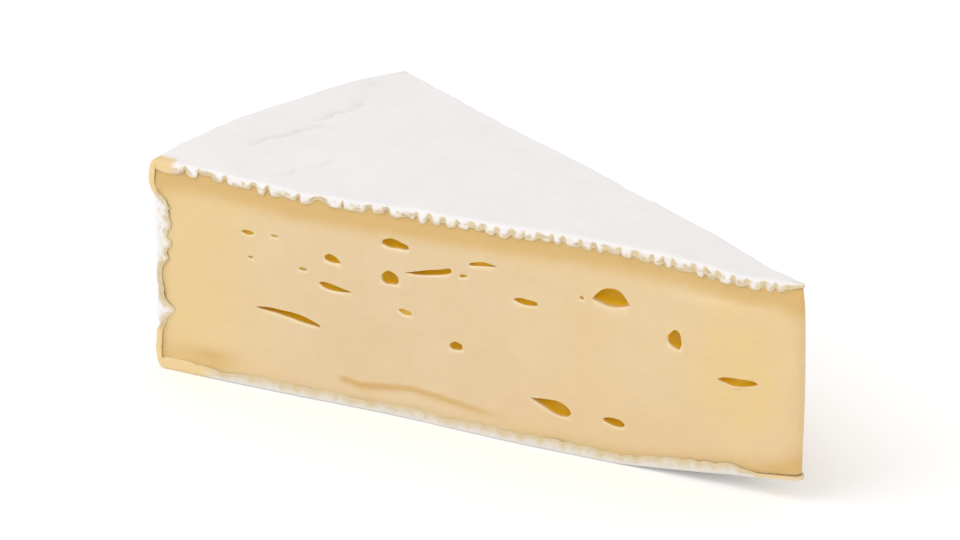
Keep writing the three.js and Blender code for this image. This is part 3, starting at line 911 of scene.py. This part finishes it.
def rind_material():
    """White bloom: matt and velvety, faintly mottled, with painted shade darkening its
    folds and creases and greying the base, tan where it is cut or notched, with painted
    shade tinting the pits of the cut edge tan, and with paste smeared over it at the
    corners."""
    shader = Shader(
        "rind",
        IOR=1.4,
        Specular_IOR_Level=0.15,
        Sheen_Weight=0.15,
        Sheen_Roughness=0.6,
        Subsurface_Weight=0.08,
        Subsurface_Radius=(1.0, 0.8, 0.6),
        Subsurface_Scale=0.0015,
    )
    # Two whites of the bloom, mixed by random clouds as its mottling
    white, mottle_white = (0.85, 0.815, 0.808, 1), (0.81, 0.775, 0.765, 1)
    creamline_and_shade, paste = (0.66, 0.52, 0.30, 1), (0.78, 0.585, 0.30, 1)
    clouds = shader.noise(11, 3, 0.55).between(0.35, 0.7)
    fluff = shader.noise(1.3, 4, 0.65)
    colour = shader.mix(clouds * 0.55, white, mottle_white)
    colour = shader.mix(fluff.between(0.55, 0.8) * 0.25, colour, (0.78, 0.73, 0.70, 1))
    # Painted shade in the wall's folds
    fold_shade = (shader.attribute("fold_shade") + (fluff - 0.5) * 0.5).between(0.35, 0.95)
    colour = shader.mix(fold_shade * 0.35, colour, (0.74, 0.64, 0.46, 1))
    # Painted shade in the top's creases
    crease_shade = shader.attribute("crease_shade") * (0.5 + clouds * 0.5)
    colour = shader.mix(crease_shade * 0.4, colour, (0.64, 0.62, 0.61, 1))
    # Painted shade greying the base
    base_shade = shader.attribute("base_shade") * (0.6 + fluff * 0.4)
    colour = shader.mix(base_shade * 0.75, colour, (0.66, 0.63, 0.55, 1))
    ragged = shader.noise(0.9, 3, 0.6) - 0.5
    # Tan on the cut section and in the notches, and painted shade in the pits
    cut = (shader.attribute("tan") + ragged * 0.7).between(0.15, 0.85)
    colour = shader.mix(cut * 0.9, colour, creamline_and_shade)
    smear = (shader.attribute("smear") + ragged * 0.5).between(0.2, 0.9)
    colour = shader.mix(smear, colour, paste)
    velvet = shader.noise(0.35, 4, 0.7)
    lumps = shader.noise(1.6, 3, 0.55)
    normal = shader.bump(velvet, 0.07, 0.55, shader.bump(lumps, 0.16, 0.5))
    roughness = 0.96 - smear * 0.4
    return shader.finish(Base_Color=colour, Roughness=roughness, Normal=normal)


def floor_material():
    """Clean white paper with the faintest mottling. It glows a little, and more towards
    its rim, where less of the light reaches."""
    shader = Shader("floor", Specular_IOR_Level=0.1, Emission_Strength=1.0)
    colour = shader.mix(shader.noise(60, 2), (0.965, 0.965, 0.965, 1), (0.98, 0.98, 0.98, 1))
    away = shader.node("ShaderNodeVectorMath", {"operation": "LENGTH"}, {0: shader.place}, 1)
    glow = shader.mix(away.between(0.25, 1.2), (0.08, 0.08, 0.08, 1), (0.26, 0.26, 0.26, 1))
    roughness = 0.9 + shader.noise(30, 1) * 0.05
    return shader.finish(Base_Color=colour, Roughness=roughness, Emission_Color=glow)


# ------------------------------------------------------------------------ stage


def make_floor():
    """A wide pale floor level with the wedge's base, which turns up at its rim through a
    quarter circle into a wall: a profile of radius and height, revolved about Z."""
    turn = np.linspace(0, math.pi / 2, 17)
    radius = np.concatenate([[0, 0.3, 0.8, 1.6, 2.4], 3 + np.sin(turn), [4]])
    height = np.concatenate([[0, 0, 0, 0, 0], 1 - np.cos(turn), [1.6]]) + cad_box[0][2]
    around = np.linspace(0, 2 * math.pi, 97)[None, :]
    x, y = radius[:, None] * np.cos(around), radius[:, None] * np.sin(around)
    points = np.stack([x, y, height[:, None] + 0 * x], axis=-1).reshape(-1, 3)
    floor = make_piece("floor", points / MM, grid_faces(np.arange(x.size).reshape(x.shape)), {})
    floor.data.materials.append(floor_material())


def direction(azimuth, elevation):
    """The unit vector from the wedge towards a place at this azimuth and elevation in
    degrees; azimuth 0 is in front, on the -Y side, and 90 is on the +X side."""
    turn, lift = math.radians(azimuth), math.radians(elevation)
    return np.array(
        [math.sin(turn) * math.cos(lift), -math.cos(turn) * math.cos(lift), math.sin(lift)]
    )


def aim(thing, place, target):
    """Puts a camera or light at a place and points its -Z axis at the target."""
    back = np.array(place, float) - np.array(target, float)
    back /= np.linalg.norm(back)
    right = np.cross((0, 0, 1), back)
    right /= np.linalg.norm(right)
    up = np.cross(back, right)
    turned = np.eye(4)
    turned[:3, 0], turned[:3, 1], turned[:3, 2], turned[:3, 3] = right, up, back, place
    thing.matrix_world = Matrix(turned)


def make_light(name, azimuth, elevation, distance, size, power):
    """A large soft square light that looks at the wedge. Sizes are in metres."""
    lamp = bpy.data.lights.new(name, "AREA")
    lamp.size = size
    lamp.energy = power
    light = bpy.data.objects.new(name, lamp)
    bpy.context.scene.collection.objects.link(light)
    aim(light, direction(azimuth, elevation) * distance, (0, 0, 0.02))


def make_camera():
    """A long lens, far enough off to flatten the wedge, aimed a little to the left of
    its middle and above it."""
    azimuth, elevation, distance = 42.0, 22.3, 0.926
    middle = np.array([TIP_X * MM - 0.0625, 0, 0.0195])
    back = direction(azimuth, elevation)
    right = np.array([math.cos(math.radians(azimuth)), math.sin(math.radians(azimuth)), 0])
    up = np.cross(back, right)
    target = middle - right * 0.00725 + up * 0.0048
    camera_data = bpy.data.cameras.new("camera")
    camera_data.lens = 199.4
    camera_data.sensor_width = 36
    camera = bpy.data.objects.new("camera", camera_data)
    bpy.context.scene.collection.objects.link(camera)
    aim(camera, target + back * distance, target)
    bpy.context.scene.camera = camera


def make_stage():
    """An evenly bright sky, a key light from the left of the near face, a weaker light
    in front of it, the floor and the camera, with colours shown as they are."""
    scene = bpy.context.scene
    scene.view_settings.view_transform = "Standard"
    scene.view_settings.look = "None"
    world = bpy.data.worlds.new("sky")
    world.use_nodes = True
    background = world.node_tree.nodes["Background"]
    background.inputs["Color"].default_value = (1, 1, 1, 1)
    background.inputs["Strength"].default_value = 0.70
    scene.world = world
    make_light("key", -35, 58, 1.2, 1.0, 4.6)
    make_light("front", 50, 35, 1.4, 1.1, 2.0)
    make_floor()
    make_camera()


make_stage()
rind = make_rind()
rind.data.materials.append(rind_material())
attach(rind, "root")
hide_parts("rind")

paste = make_paste()
paste.data.materials.append(paste_material())
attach(paste, "root")
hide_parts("paste")
